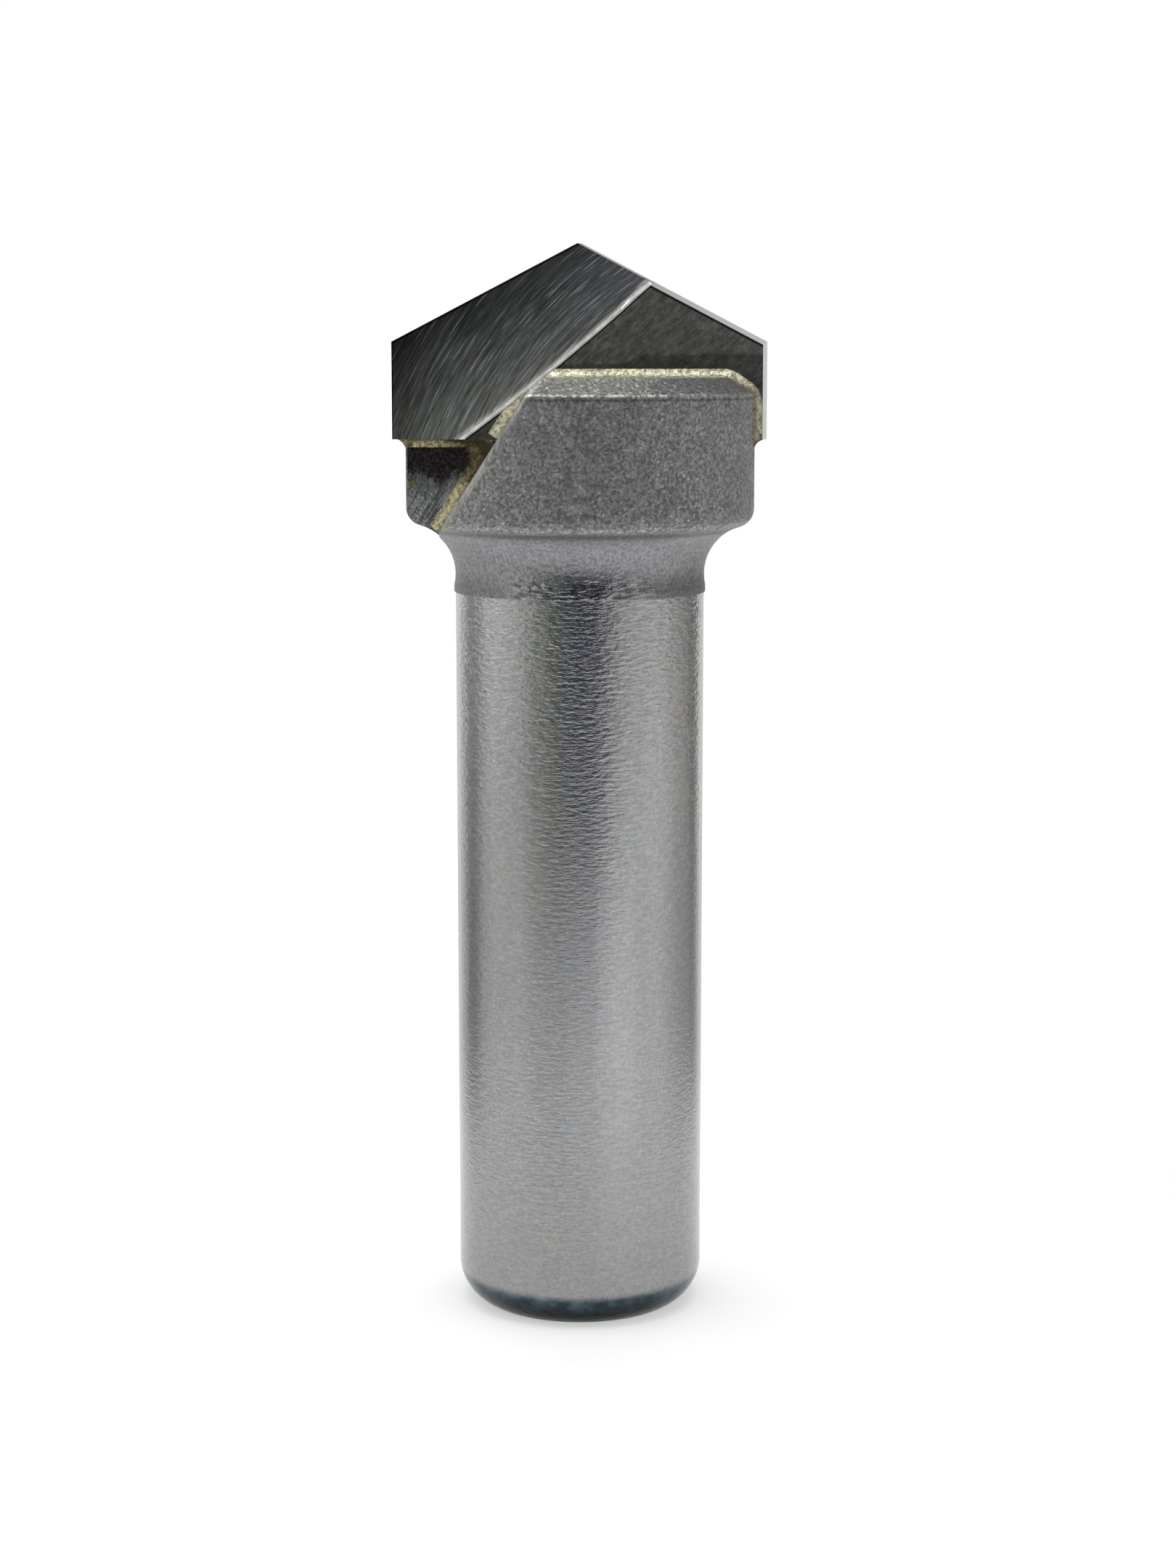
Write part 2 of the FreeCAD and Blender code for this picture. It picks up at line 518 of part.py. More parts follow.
# Braze that shows along the edges of the plate.
def braze_beads(blank):
    body = new_body("braze_beads")
    plate_front = "-sizes.plate_thickness / 2"

    # Bead over the top of the head, down its bevel and down its side.
    path = new_sketch(body, "bead_path", "XZ_Plane", z="sizes.plate_thickness / 2")
    draw_bead_path(path)
    section = new_sketch(body, "bead_start", "YZ_Plane",
                         plate_front, TOP_EXPR, "-sizes.gullet_inset - sizes.bead_leg")
    bead_section(section, "bead", -1, 1)
    top_bead = body.newObject("PartDesign::AdditivePipe", "top_bead")
    top_bead.Profile = section
    top_bead.Spine = (path, [])
    DOC.recompute()

    # Bead under the end of the plate, round the side of the head.
    section = new_sketch(body, "end_bead_start", "XZ_Plane", HEAD_R_EXPR, PLATE_BOTTOM_EXPR)
    bead_section(section, "bead", 1, -1)
    end_bead = body.newObject("PartDesign::Revolution", "end_bead")
    end_bead.Profile = section
    end_bead.ReferenceAxis = (origin_feature(body, "Z_Axis"), [""])
    end_bead.setExpression("Angle", f"asin(sizes.plate_thickness / 2 / {HEAD_R_EXPR})")
    end_bead.Reversed = True

    # Bead under the plate, along the top of the gullet's floor, from just inside the side of the head.
    start_expr = f"({HEAD_R_EXPR} - sizes.braze_film)"
    section = new_sketch(body, "floor_bead_start", "YZ_Plane",
                         "sizes.gullet_floor_depth", PLATE_BOTTOM_EXPR, f"-{start_expr}")
    bead_section(section, "bead", -1, -1)
    floor_bead = pad(body, "floor_bead", section, f"{start_expr} - {WALL_AT_PLATE_EXPR} + {SINK}")

    # Beads in the corners that the gullet's wall makes with the plate, and below it with the floor.
    section = wall_section(body, "plate_corner_start", plate_front)
    bead_section(section, "gullet_bead", -1, -1)
    plate_corner = pad(body, "plate_corner_bead", section, "sizes.slot_depth / sin(sizes.gullet_angle)")
    section = wall_section(body, "floor_corner_start", "sizes.gullet_floor_depth")
    bead_section(section, "gullet_bead", -1, -1)
    floor_corner = pad(body, "floor_corner_bead", section, f"{corner_run(blank)} - sizes.bead_run_out")
    floor_corner.Reversed = True

    # Braze pooled where the plate's underside, the wall and the floor meet.
    back = pool_outline(body, "pool_back", f"-sizes.gullet_floor_depth - {SINK}", 1)
    front = pool_outline(body, "pool_front", "sizes.plate_thickness / 2", POOL_SHARE)
    pool = body.newObject("PartDesign::AdditiveLoft", "pool")
    pool.Profile = back
    pool.Sections = [front]
    pool.Ruled = True
    DOC.recompute()

    beads = [top_bead, end_bead, floor_bead, plate_corner, floor_corner, pool]
    half_turn_copy(body, "both_bead_sets", beads)
    return body


def corner_run(blank):
    """How far the corner of the gullet's wall and floor runs down through the steel, from the plate's
    bottom."""
    start = Vector(wall_x(PLATE_BOTTOM), size("gullet_floor_depth"), PLATE_BOTTOM)
    down = Vector(-math.cos(WALL), 0, -math.sin(WALL))
    just_inside = Vector(math.sin(WALL), 0, -math.cos(WALL)) * NEAR
    line = Part.makeLine(start + just_inside, start + just_inside + down * REACH)
    return blank.Shape.common(line).Length


def pool_outline(body, name, depth, share):
    """A hollow-sided triangle in the corner of the plate's underside and the gullet's wall, sunk into
    both."""
    sketch = new_sketch(body, name, "XZ_Plane", z=depth)
    corner = Vector(wall_x(PLATE_BOTTOM), PLATE_BOTTOM, 0)
    sunk = corner + Vector(math.sin(WALL), 1 - math.cos(WALL), 0) * SINK
    along = corner + Vector(-1, 0, 0) * size("pool_along_plate") * share
    down = corner + Vector(-math.cos(WALL), -math.sin(WALL), 0) * size("pool_along_wall") * share
    radius = POOL_HOLLOW * share * (size("pool_along_plate") + size("pool_along_wall"))
    half_chord = (along - down) / 2
    outward = half_chord.cross(Vector(0, 0, -1)).normalize()
    centre = (along + down) / 2 + outward * math.sqrt(radius**2 - half_chord.Length**2)
    ids = draw_loop(sketch, [sunk[:2], along[:2], down[:2]], {1: (centre[:2], False)})
    bind(sketch, "along", "DistanceX", (ids[0], 2, *ORIGIN), -along.x,
         f"{WALL_AT_PLATE_EXPR} + sizes.pool_along_plate * {share}")
    bind(sketch, "along_level", "DistanceY", (*ORIGIN, ids[0], 2), PLATE_BOTTOM, PLATE_BOTTOM_EXPR)
    bind(sketch, "down", "DistanceX", (ids[2], 1, *ORIGIN), -down.x,
         f"{WALL_AT_PLATE_EXPR} + sizes.pool_along_wall * {share} * cos(sizes.gullet_angle)")
    bind(sketch, "down_level", "DistanceY", (*ORIGIN, ids[2], 1), down.y,
         f"{PLATE_BOTTOM_EXPR} - sizes.pool_along_wall * {share} * sin(sizes.gullet_angle)")
    bind(sketch, "sunk", "DistanceX", (ids[0], 1, *ORIGIN), -sunk.x,
         f"{WALL_AT_PLATE_EXPR} - {SINK} * sin(sizes.gullet_angle)")
    bind(sketch, "sunk_level", "DistanceY", (*ORIGIN, ids[0], 1), sunk.y,
         f"{PLATE_BOTTOM_EXPR} + {SINK} * (1 - cos(sizes.gullet_angle))")
    bind(sketch, "hollow", "Radius", (ids[1],), radius,
         f"{POOL_HOLLOW} * {share} * (sizes.pool_along_plate + sizes.pool_along_wall)")
    return sketch


def check(parts):
    """Stops the build if anything in the document failed."""
    for item in DOC.Objects:
        if "Invalid" in item.State or "Error" in item.State:
            raise RuntimeError(f"{item.Name} failed: {item.getStatusString()}")
    for part in parts:
        if part.Shape.isNull() or not part.Shape.isValid() or len(part.Shape.Solids) != 1:
            raise RuntimeError(f"{part.Label} is not one valid solid")


def build():
    blank = steel_blank()
    plate = carbide_blank()
    grind = grind_path()
    slot = slot_block()
    beads = braze_beads(blank)

    steel = cut("steel_body", blank, [slot, grind])
    carbide = cut("carbide_tip", plate, [grind])

    # Braze: all of the slot that the head surrounds, and the beads, less the steel, the plate and what is
    # ground.
    film = DOC.addObject("Part::MultiCommon", "film")
    film.Shapes = [blank, slot]
    filler = DOC.addObject("Part::MultiFuse", "filler")
    filler.Shapes = [film, beads]
    braze = cut("braze_joint", filler, [steel, carbide, grind])
    DOC.recompute()

    parts = [steel, carbide, braze]
    check(parts)
    os.makedirs("parts", exist_ok=True)
    for part in parts:
        part.Shape.exportStep(f"parts/{part.Label}.step")


build()
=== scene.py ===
"""Looks of the v groove router bit: the finish of its steel, carbide and braze, and the stage."""

import math
from collections import namedtuple

import bpy
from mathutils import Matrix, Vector

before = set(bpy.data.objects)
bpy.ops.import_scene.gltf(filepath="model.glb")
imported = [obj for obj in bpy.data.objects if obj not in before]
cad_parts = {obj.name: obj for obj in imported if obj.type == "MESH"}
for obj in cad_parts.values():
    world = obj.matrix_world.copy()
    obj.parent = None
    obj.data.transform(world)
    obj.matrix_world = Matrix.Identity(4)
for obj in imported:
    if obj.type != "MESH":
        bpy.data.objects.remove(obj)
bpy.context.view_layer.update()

MM = 0.001

# Lengths are in millimetres and colours are linear red, green and blue. The front of the bit is -Y.
# "across" is X as seen from a point's own side of the bit, because the bit is the same after half a
# turn, and "up" is Z.

# Levels of the bit along its axis, from the end of the shank.
END_ROUND_TOP = 1.85
SHANK_TOP = 37.3
LIP_TOP = 37.6
HEAD_BOTTOM = 40.63
PLATE_BOTTOM = 45.0
BEVEL_BOTTOM = 47.28
HEAD_TOP = 48.13
POINT_HEIGHT = 54.8

# Distances from the axis, then from the plane in the middle of the carbide plate.
HEAD_RADIUS = 8.89
HALF_CUT = 9.525
HALF_PLATE = 1.5
HALF_WEB = 0.325
GULLET_FLOOR = 0.3

# The plate's roof: its slope, and how wide the relief behind its edge is.
ROOF_SLOPE = math.radians(27.5)
RELIEF_WIDTH = 0.289

# The gullet's sloping wall: its slope, how far from the axis it meets the top of the head, and how
# far from the axis it would come down to the level of the shank's end.
GULLET_ANGLE = math.radians(57.1)
GULLET_INSET = 2.07
GULLET_REACH = GULLET_INSET + HEAD_TOP / math.tan(GULLET_ANGLE)

# Where the plate's underside, the gullet's wall and its floor meet: across and up.
GULLET_CORNER = (
    -GULLET_INSET - (HEAD_TOP - PLATE_BOTTOM) / math.tan(GULLET_ANGLE),
    PLATE_BOTTOM,
)

# The arc that bounds a rake face: its radius, its slope and level on the axis, and its centre.
RAKE_RADIUS = 110.0
RAKE_SLOPE = math.radians(40)
RAKE_LEVEL = 49.56
RAKE_CENTRE = (
    -RAKE_RADIUS * math.sin(RAKE_SLOPE),
    RAKE_LEVEL + RAKE_RADIUS * math.cos(RAKE_SLOPE),
)

# The middle of the marks that the wheel left on a rake face: across and up.
MARKS_CENTRE = (14.0, 36.5)

# Ranges of noise. Most of it lies near 0.5, so a narrow range gives more contrast than a wide one,
# and a range above 0.5 leaves only spots.
WIDE = (0.2, 0.8)
SOFT = (0.3, 0.7)
FIRM = (0.35, 0.65)
HARD = (0.4, 0.6)

# A noise: its grains to the millimetre, as one number or along X, Y and Z, then its octaves of
# detail and how strong the finer ones are.
Grain = namedtuple("Grain", "per_mm detail roughness")


class Graph:
    """The node tree of one material. Each call adds nodes and returns what they put out."""

    def __init__(self, name):
        self.material = bpy.data.materials.new(name)
        self.material.use_nodes = True
        self.tree = self.material.node_tree
        self.tree.nodes.clear()

    def set(self, socket, value):
        """Links a socket to another node's output, or gives it a plain number or colour."""
        if isinstance(value, bpy.types.NodeSocket):
            self.tree.links.new(value, socket)
        else:
            socket.default_value = value

    def node(self, kind, inputs=None, **settings):
        node = self.tree.nodes.new(kind)
        for key, value in settings.items():
            setattr(node, key, value)
        for key, value in (inputs or {}).items():
            self.set(node.inputs[key], value)
        return node

    # Numbers.

    def math(self, operation, a, b=0.0):
        return self.node("ShaderNodeMath", {0: a, 1: b}, operation=operation).outputs[0]

    def plus(self, a, b):
        return self.math("ADD", a, b)

    def minus(self, a, b):
        return self.math("SUBTRACT", a, b)

    def times(self, first, *others):
        for other in others:
            first = self.math("MULTIPLY", first, other)
        return first

    def absolute(self, value):
        return self.math("ABSOLUTE", value)

    def distance(self, a, b):
        return self.math("SQRT", self.plus(self.times(a, a), self.times(b, b)))

    def blend(self, factor, a, b):
        """a where the factor is 0 and b where it is 1, both of them numbers."""
        node = self.node("ShaderNodeMix", data_type="FLOAT")
        self.set(node.inputs["Factor"], factor)
        self.set(node.inputs[2], a)
        self.set(node.inputs[3], b)
        return node.outputs[0]

    # Places and directions.

    def place(self):
        """Where the shaded point is on the bit, in millimetres: x, y and z."""
        metres = self.node("ShaderNodeTexCoord").outputs["Object"]
        inputs = {0: metres, "Scale": 1 / MM}
        return self.split(self.node("ShaderNodeVectorMath", inputs, operation="SCALE").outputs[0])

    def facing(self):
        """The way the surface faces on the bit: x, y and z."""
        return self.split(self.node("ShaderNodeTexCoord").outputs["Normal"])

    def split(self, vector):
        return self.node("ShaderNodeSeparateXYZ", {0: vector}).outputs[:]

    def join(self, x, y, z):
        return self.node("ShaderNodeCombineXYZ", {0: x, 1: y, 2: z}).outputs[0]

    def stretch(self, vector, factors):
        inputs = {0: vector, 1: factors}
        return self.node("ShaderNodeVectorMath", inputs, operation="MULTIPLY").outputs[0]

    def turned(self, vector, degrees):
        """The place turned about Y, so that a grain stretched along X or Z runs at an angle."""
        inputs = {"Vector": vector, "Angle": math.radians(degrees)}
        return self.node("ShaderNodeVectorRotate", inputs, rotation_type="Y_AXIS").outputs[0]

    def across(self, x, side):
        """x seen from the front where side is negative, and from the back where it is positive."""
        return self.times(x, self.times(self.math("SIGN", side), -1.0))

    def polar(self, across, up, centre):
        """Distance and angle of a place from a centre, seen from the front."""
        right = self.minus(across, centre[0])
        above = self.minus(up, centre[1])
        return self.distance(right, above), self.math("ARCTAN2", above, right)

    # Masks and noise.

    def step(self, value, low, high, out_low=0.0, out_high=1.0):
        """Runs smoothly from out_low, where value is low, to out_high, where it is high."""
        inputs = {0: value, 1: low, 2: high, 3: out_low, 4: out_high}
        return self.node("ShaderNodeMapRange", inputs, interpolation_type="SMOOTHSTEP").outputs[0]

    def fade(self, value, start, end):
        """1 up to the start, running out to 0 at the end."""
        return self.step(value, start, end, 1.0, 0.0)

    def band(self, value, middle, width):
        """1 where value is near middle, running out to 0 over half the width on each side."""
        return self.fade(self.absolute(self.minus(value, middle)), 0.0, width / 2)

    def noise(self, place, grain):
        scale = 1.0
        if isinstance(grain.per_mm, tuple):
            place = self.stretch(place, grain.per_mm)
        else:
            scale = grain.per_mm
        inputs = {"Vector": place, "Scale": scale}
        inputs.update({"Detail": grain.detail, "Roughness": grain.roughness})
        return self.node("ShaderNodeTexNoise", inputs).outputs[0]

    def ragged(self, value, noise, reach):
        """The value moved up and down by noise, by up to half the reach."""
        return self.plus(value, self.times(self.minus(noise, 0.5), reach))

    # Colours.

    def ramp(self, value, stops):
        """A grey or a colour by value, from pairs of position and colour."""
        node = self.node("ShaderNodeValToRGB", {0: value})
        elements = node.color_ramp.elements
        elements.remove(elements[-1])
        for index, (position, colour) in enumerate(stops):
            element = elements[0] if index == 0 else elements.new(position)
            element.position = position
            element.color = (*colour, 1.0)
        return node.outputs[0]

    def mix(self, factor, a, b):
        """a where the factor is 0 and b where it is 1, both of them colours."""
        node = self.node("ShaderNodeMix", data_type="RGBA")
        self.set(node.inputs["Factor"], factor)
        for index, colour in ((6, a), (7, b)):
            self.set(node.inputs[index], (*colour, 1.0) if isinstance(colour, tuple) else colour)
        return node.outputs[2]

    def tint(self, colour, amount):
        """A colour made lighter or darker by a number around 1."""
        inputs = {0: colour, "Scale": amount}
        return self.node("ShaderNodeVectorMath", inputs, operation="SCALE").outputs[0]

    def lift(self, colour, mask, amount):
        """A colour made lighter by the amount, or darker by a negative one, where the mask is 1."""
        return self.tint(colour, self.plus(self.times(mask, amount), 1.0))

    def vary(self, colour, value, reach, low, high):
        """A colour tinted by low up to the start of the value's range and by high from its end."""
        return self.tint(colour, self.step(value, *reach, low, high))

    # What the material hands over.

    def bump(self, height, depth):
        """Raises and lowers the surface by height times depth, in millimetres."""
        return self.node("ShaderNodeBump", {"Height": height, "Distance": depth * MM}).outputs[0]

    def metal(self, colour, roughness, relief, others=None):
        inputs = {"Base Color": colour, "Metallic": 1.0, "Roughness": roughness, "Normal": relief}
        inputs.update(others or {})
        return self.surface(self.node("ShaderNodeBsdfPrincipled", inputs))

    def surface(self, shader):
        self.node("ShaderNodeOutputMaterial", {"Surface": shader.outputs[0]})
        return self.material


# Noises on the steel. Grinding marks run round the shank, so they are long along the surface and
# short up the axis. Those of the gullet's wheel run at an angle, in degrees. Blasting left an even
# grain on the neck and the head, with dashes of the turned steel where it is thin.
GRINDING = Grain((1.9, 1.9, 6.2), 2.0, 0.6)
FINE_GRINDING = Grain((3.0, 3.0, 14.0), 2.0, 0.5)
CLOUDS = Grain(0.9, 3.0, 0.5)
SPECKS = Grain(6.0, 3.0, 0.7)
BLAST = Grain(5.8, 2.0, 0.7)
GLINTS = Grain(9.0, 0.0, 0.5)
DASHES = Grain((1.5, 1.5, 5.0), 2.0, 0.6)
CHIPS = Grain((4.5, 4.5, 1.4), 2.0, 0.6)
CUTS = Grain((0.9, 7.0, 0.9), 3.0, 0.7)
PATCHES = Grain(1.1, 3.0, 0.6)
WHEEL_MARKS = Grain((1.0, 1.0, 9.0), 3.0, 0.6)
WHEEL_MARKS_TURN = 60.0

# Ranges of those noises that leave glints and chips, draw out the dashes, and break up the painted
# highlight on the bevel's worn edge.
GLINTS_RANGE = (0.67, 0.75)
CHIPS_RANGE = (0.57, 0.68)
DASHES_RANGE = (0.44, 0.54)
WORN_RANGE = (0.44, 0.56)

# Colours of the steel. The near-white edge is a painted highlight along the bevel's lower edge, the
# nearly black colour below the plate is a painted shadow, and the two colours of the shank's end
# are a painted dark reflection of the shadowed floor.
SHANK_WARM = (0.408, 0.401, 0.397)
SHANK_COLD = (0.392, 0.398, 0.403)
NECK_GREY = (0.375, 0.375, 0.389)
HEAD_GREY = (0.385, 0.382, 0.383)
BEVEL_GREY = (0.345, 0.342, 0.33)
EDGE_HIGHLIGHT = (0.95, 0.95, 0.93)
WALL_EDGE_GREY = (0.36, 0.355, 0.345)
GULLET_GREY = (0.44, 0.44, 0.46)
PLATE_SHADOW = (0.055, 0.045, 0.046)
BRAZE_DROP = (0.36, 0.3, 0.13)
BRAZE_WASH = (0.36, 0.31, 0.19)
BEAD_FOOT_DARK = (0.07, 0.06, 0.04)
END_SHADE_RIM = (0.006, 0.008, 0.01)
END_SHADE_WALL = (0.075, 0.11, 0.125)

# How far noise moves the edge of the ground shank, of the patch on the neck and of the painted
# shade at its foot, of the painted shadow on the gullet's floor below the plate, of the braze in
# the gullet's corner and of the drop of braze.
SHANK_RAGGED = 0.12
NECK_RAGGED = 1.2
PLATE_SHADOW_RAGGED = 2.4
WASH_RAGGED = 1.6
DROP_RAGGED = 0.5

# The half-blasted patch at the foot of the neck: where it runs out, up the neck and to each side.
PATCH_UP = (LIP_TOP + 0.1, LIP_TOP + 1.4)
PATCH_ASIDE = (2.2, 4.6)

# Bands round the head, their middle level and whole width: painted shade in the crease below the
# head and a painted reflection on the rim above it, a painted shade line under the bevel, and the
# bevel's worn lower edge with its painted highlight.
CREASE_SHADE = (HEAD_BOTTOM - 0.16, 0.5)
RIM_REFLECTION = (HEAD_BOTTOM + 0.22, 0.4)
UNDER_BEVEL_SHADE = (BEVEL_BOTTOM - 0.2, 0.22)
BEVEL_EDGE = (BEVEL_BOTTOM + 0.01, 0.24)

# The dark line at the foot of the bead on top of the head: how far off the middle plane it lies,
# and its whole width.
BEAD_FOOT = (2.02, 0.5)

# Levels between which one finish of the steel takes over from the next, and, last, where the
# painted dark reflection on the shank's end begins.
SHANK_TO_NECK = (SHANK_TOP - 0.03, SHANK_TOP + 0.03)
NECK_TO_HEAD = (HEAD_BOTTOM - 0.1, HEAD_BOTTOM + 0.1)
HEAD_TO_BEVEL = (BEVEL_BOTTOM - 0.02, BEVEL_BOTTOM + 0.02)
BEVEL_TO_TOP = (HEAD_TOP - 0.02, HEAD_TOP - 0.01)
DARK_END = (END_ROUND_TOP - 0.5, END_ROUND_TOP)

# The bevel is painted lighter towards the rake face, as where light falls on it, and the painted
# highlight on its lower edge is stronger there: across.
BEVEL_LIGHT_ACROSS = (1.5, 5.5)
EDGE_LIGHT_ACROSS = (3.0, 7.0)

# Where the floor of a gullet ends, off the middle plane and from the axis, where the light edge of
# its wall ends, how far braze has run into its corner, and the level below which it carries a
# painted shadow under the plate.
FLOOR_EDGE = (GULLET_FLOOR + 0.02, GULLET_FLOOR + 0.1)
HEAD_EDGE = (HEAD_RADIUS - 0.1, HEAD_RADIUS - 0.05)
WALL_EDGE = (0.24, 0.34)
WASH_EDGE = (1.2, 1.9)
PLATE_SHADOW_LEVEL = (42.4, 43.5)

# A drop of braze left on the floor of the gullet: where it is, across and up, the way in which it
# is drawn out, how much it is narrowed to the sides of that way, and where it ends.
DROP = (-8.45, 42.8)
DROP_TURN = math.radians(40)
DROP_NARROWING = 1.5
DROP_EDGE = (0.2, 0.45)

# Levels between which the shank's marks grow stronger, in colour and in relief, the painted shade
# on its lower end fades, the painted dark reflection on its end changes colour and the painted
# shade at the foot of the neck fades.
MARKS_RISE = (14.0, 36.0)
RIDGES_RISE = (20.0, 36.0)
SHANK_FOOT_SHADE = (1.0, 15.0)
END_SHADE_RISE = (0.3, END_ROUND_TOP)
NECK_FOOT_SHADE = (LIP_TOP, LIP_TOP + 1.4)

# Roughness of the steel, from 0 for a mirror to 1: the ground shank from its finest marks to its
# coarsest, the blasted neck, the half-blasted patch on it, the head, the edge of the gullet's wall,
# and the gullet's floor.
SHANK_ROUGH = (0.17, 0.26)
NECK_ROUGH = 0.55
PATCH_ROUGH = 0.24
HEAD_ROUGH = 0.8
WALL_EDGE_ROUGH = 0.5
FLOOR_ROUGH = 0.35

# Relief of the steel: its depth, and how strong the dashes are beside the pits of the blasting.
STEEL_DEPTH = 0.06
DASHES_DEPTH = 3.0

# How far the marks round the shank draw out its reflections, from 0 to 1, and the share of a whole
# turn that lays them along its axis.
SHANK_BRUSHED = 0.8
BRUSHED_TURN = 0.25


def steel():
    """Ground shank, painted darker towards its foot and with a painted dark end, blasted neck and
    head with painted shade and highlights, a bevel with wear and painted light, ground gullets with
    a painted shadow below the plate.
    """
    g = Graph("steel_finish")
    x, y, z = g.place()
    point = g.join(x, y, z)
    off_middle = g.absolute(y)
    across = g.across(x, y)
    # The gullet's floor lies beyond the middle plane, so its side is told by the way it faces.
    across_floor = g.across(x, g.facing()[1])

    marks = g.noise(point, GRINDING)
    fine_marks = g.noise(point, FINE_GRINDING)
    clouds = g.noise(point, CLOUDS)
    specks = g.noise(point, SPECKS)
    blast = g.noise(point, BLAST)
    glints = g.step(g.noise(point, GLINTS), *GLINTS_RANGE)
    dashes = g.noise(point, DASHES)
    chips = g.noise(point, CHIPS)
    cuts = g.noise(point, CUTS)
    patches = g.noise(point, PATCHES)
    wheel_marks = g.noise(g.turned(point, WHEEL_MARKS_TURN), WHEEL_MARKS)

    # Where each finish is: shank and neck, then the head and its bevel.
    ground_top = g.ragged(z, marks, SHANK_RAGGED)
    above_shank = g.step(ground_top, *SHANK_TO_NECK)
    round_end = g.fade(ground_top, *DARK_END)
    neck_level = g.ragged(z, patches, NECK_RAGGED)
    half_blasted = g.times(g.fade(neck_level, *PATCH_UP), g.fade(g.absolute(across), *PATCH_ASIDE))
    head = g.step(z, *NECK_TO_HEAD)
    bevel = g.step(z, *HEAD_TO_BEVEL)
    flat_top = g.step(z, *BEVEL_TO_TOP)
    bead_foot = g.times(flat_top, g.band(off_middle, *BEAD_FOOT))

    # The gullets: the floor, the light edge of the wall and the braze that has run into the corner.
    on_floor = g.fade(off_middle, *FLOOR_EDGE)
    in_gullet = g.times(on_floor, g.fade(g.distance(x, y), *HEAD_EDGE), head)
    wall_line = g.times(g.plus(across, GULLET_REACH), math.sin(GULLET_ANGLE))
    from_wall = g.minus(wall_line, g.times(z, math.cos(GULLET_ANGLE)))
    wall_edge = g.times(g.fade(from_wall, *WALL_EDGE), g.minus(1.0, on_floor), head)
    from_corner = g.polar(across_floor, z, GULLET_CORNER)[0]
    washed = g.times(g.fade(g.ragged(from_corner, patches, WASH_RAGGED), *WASH_EDGE), in_gullet)

    # Colour of the shank, painted darker towards its foot, and of its end, a painted dark
    # reflection of the shadowed floor tinted blue.
    shank = g.mix(g.step(clouds, *FIRM), SHANK_WARM, SHANK_COLD)
    shank = g.lift(shank, g.step(marks, *SOFT, -1.0, 1.0), g.step(z, *MARKS_RISE, 0.07, 0.12))
    shank = g.vary(shank, z, SHANK_FOOT_SHADE, low=0.74, high=1.04)
    shank = g.vary(shank, specks, SOFT, low=0.88, high=1.12)
    end_shade = g.mix(g.step(ground_top, *END_SHADE_RISE), END_SHADE_RIM, END_SHADE_WALL)
    end_shade = g.vary(end_shade, patches, SOFT, low=0.6, high=1.4)

    # Colour of the neck, with dashes in the half-blasted patch and painted shade at its foot.
    neck = g.vary(NECK_GREY, blast, SOFT, low=0.75, high=1.25)
    neck = g.tint(neck, g.blend(half_blasted, 1.0, g.step(dashes, *DASHES_RANGE, 0.68, 1.38)))
    neck = g.vary(neck, neck_level, NECK_FOOT_SHADE, low=0.68, high=1.0)

    # Colour of the head, with painted glints, and of its bevel, with painted light that makes it
    # lighter towards the rake face.
    grit = g.vary(HEAD_GREY, blast, SOFT, low=0.62, high=1.38)
    grit = g.lift(grit, glints, 0.5)
    grit = g.vary(grit, patches, SOFT, low=0.9, high=1.1)
    edge = g.vary(BEVEL_GREY, blast, SOFT, low=0.6, high=1.4)
    edge = g.vary(edge, chips, CHIPS_RANGE, low=1.0, high=1.9)
    edge = g.vary(edge, across, BEVEL_LIGHT_ACROSS, low=1.0, high=0.6)
    edge = g.mix(flat_top, edge, grit)
    # The bevel's worn lower edge, with a painted highlight that is strongest towards the rake face.
    worn_edge_highlight = g.times(g.band(z, *BEVEL_EDGE), g.step(across, *EDGE_LIGHT_ACROSS, 1.0, 0.3))
    worn_edge_highlight = g.times(worn_edge_highlight, g.step(chips, *WORN_RANGE, 0.1, 1.0))

    # Colour of the gullet's floor: ground steel, a painted shadow below the plate, and the drop of
    # braze.
    floor = g.vary(GULLET_GREY, wheel_marks, FIRM, low=0.5, high=1.5)
    shadow_level = g.ragged(g.ragged(z, wheel_marks, PLATE_SHADOW_RAGGED), patches, PLATE_SHADOW_RAGGED)
    plate_shadow = g.vary(PLATE_SHADOW, specks, FIRM, low=0.5, high=1.8)
    floor = g.mix(g.step(shadow_level, *PLATE_SHADOW_LEVEL), floor, plate_shadow)
    from_drop, turn = g.polar(across_floor, z, DROP)
    sideways = g.absolute(g.math("SINE", g.minus(turn, DROP_TURN)))
    from_drop = g.times(from_drop, g.plus(1.0, g.times(sideways, DROP_NARROWING)))
    from_drop = g.ragged(from_drop, specks, DROP_RAGGED)
    floor = g.mix(g.fade(from_drop, *DROP_EDGE), floor, BRAZE_DROP)

    # All of it together.
    colour = g.mix(head, neck, grit)
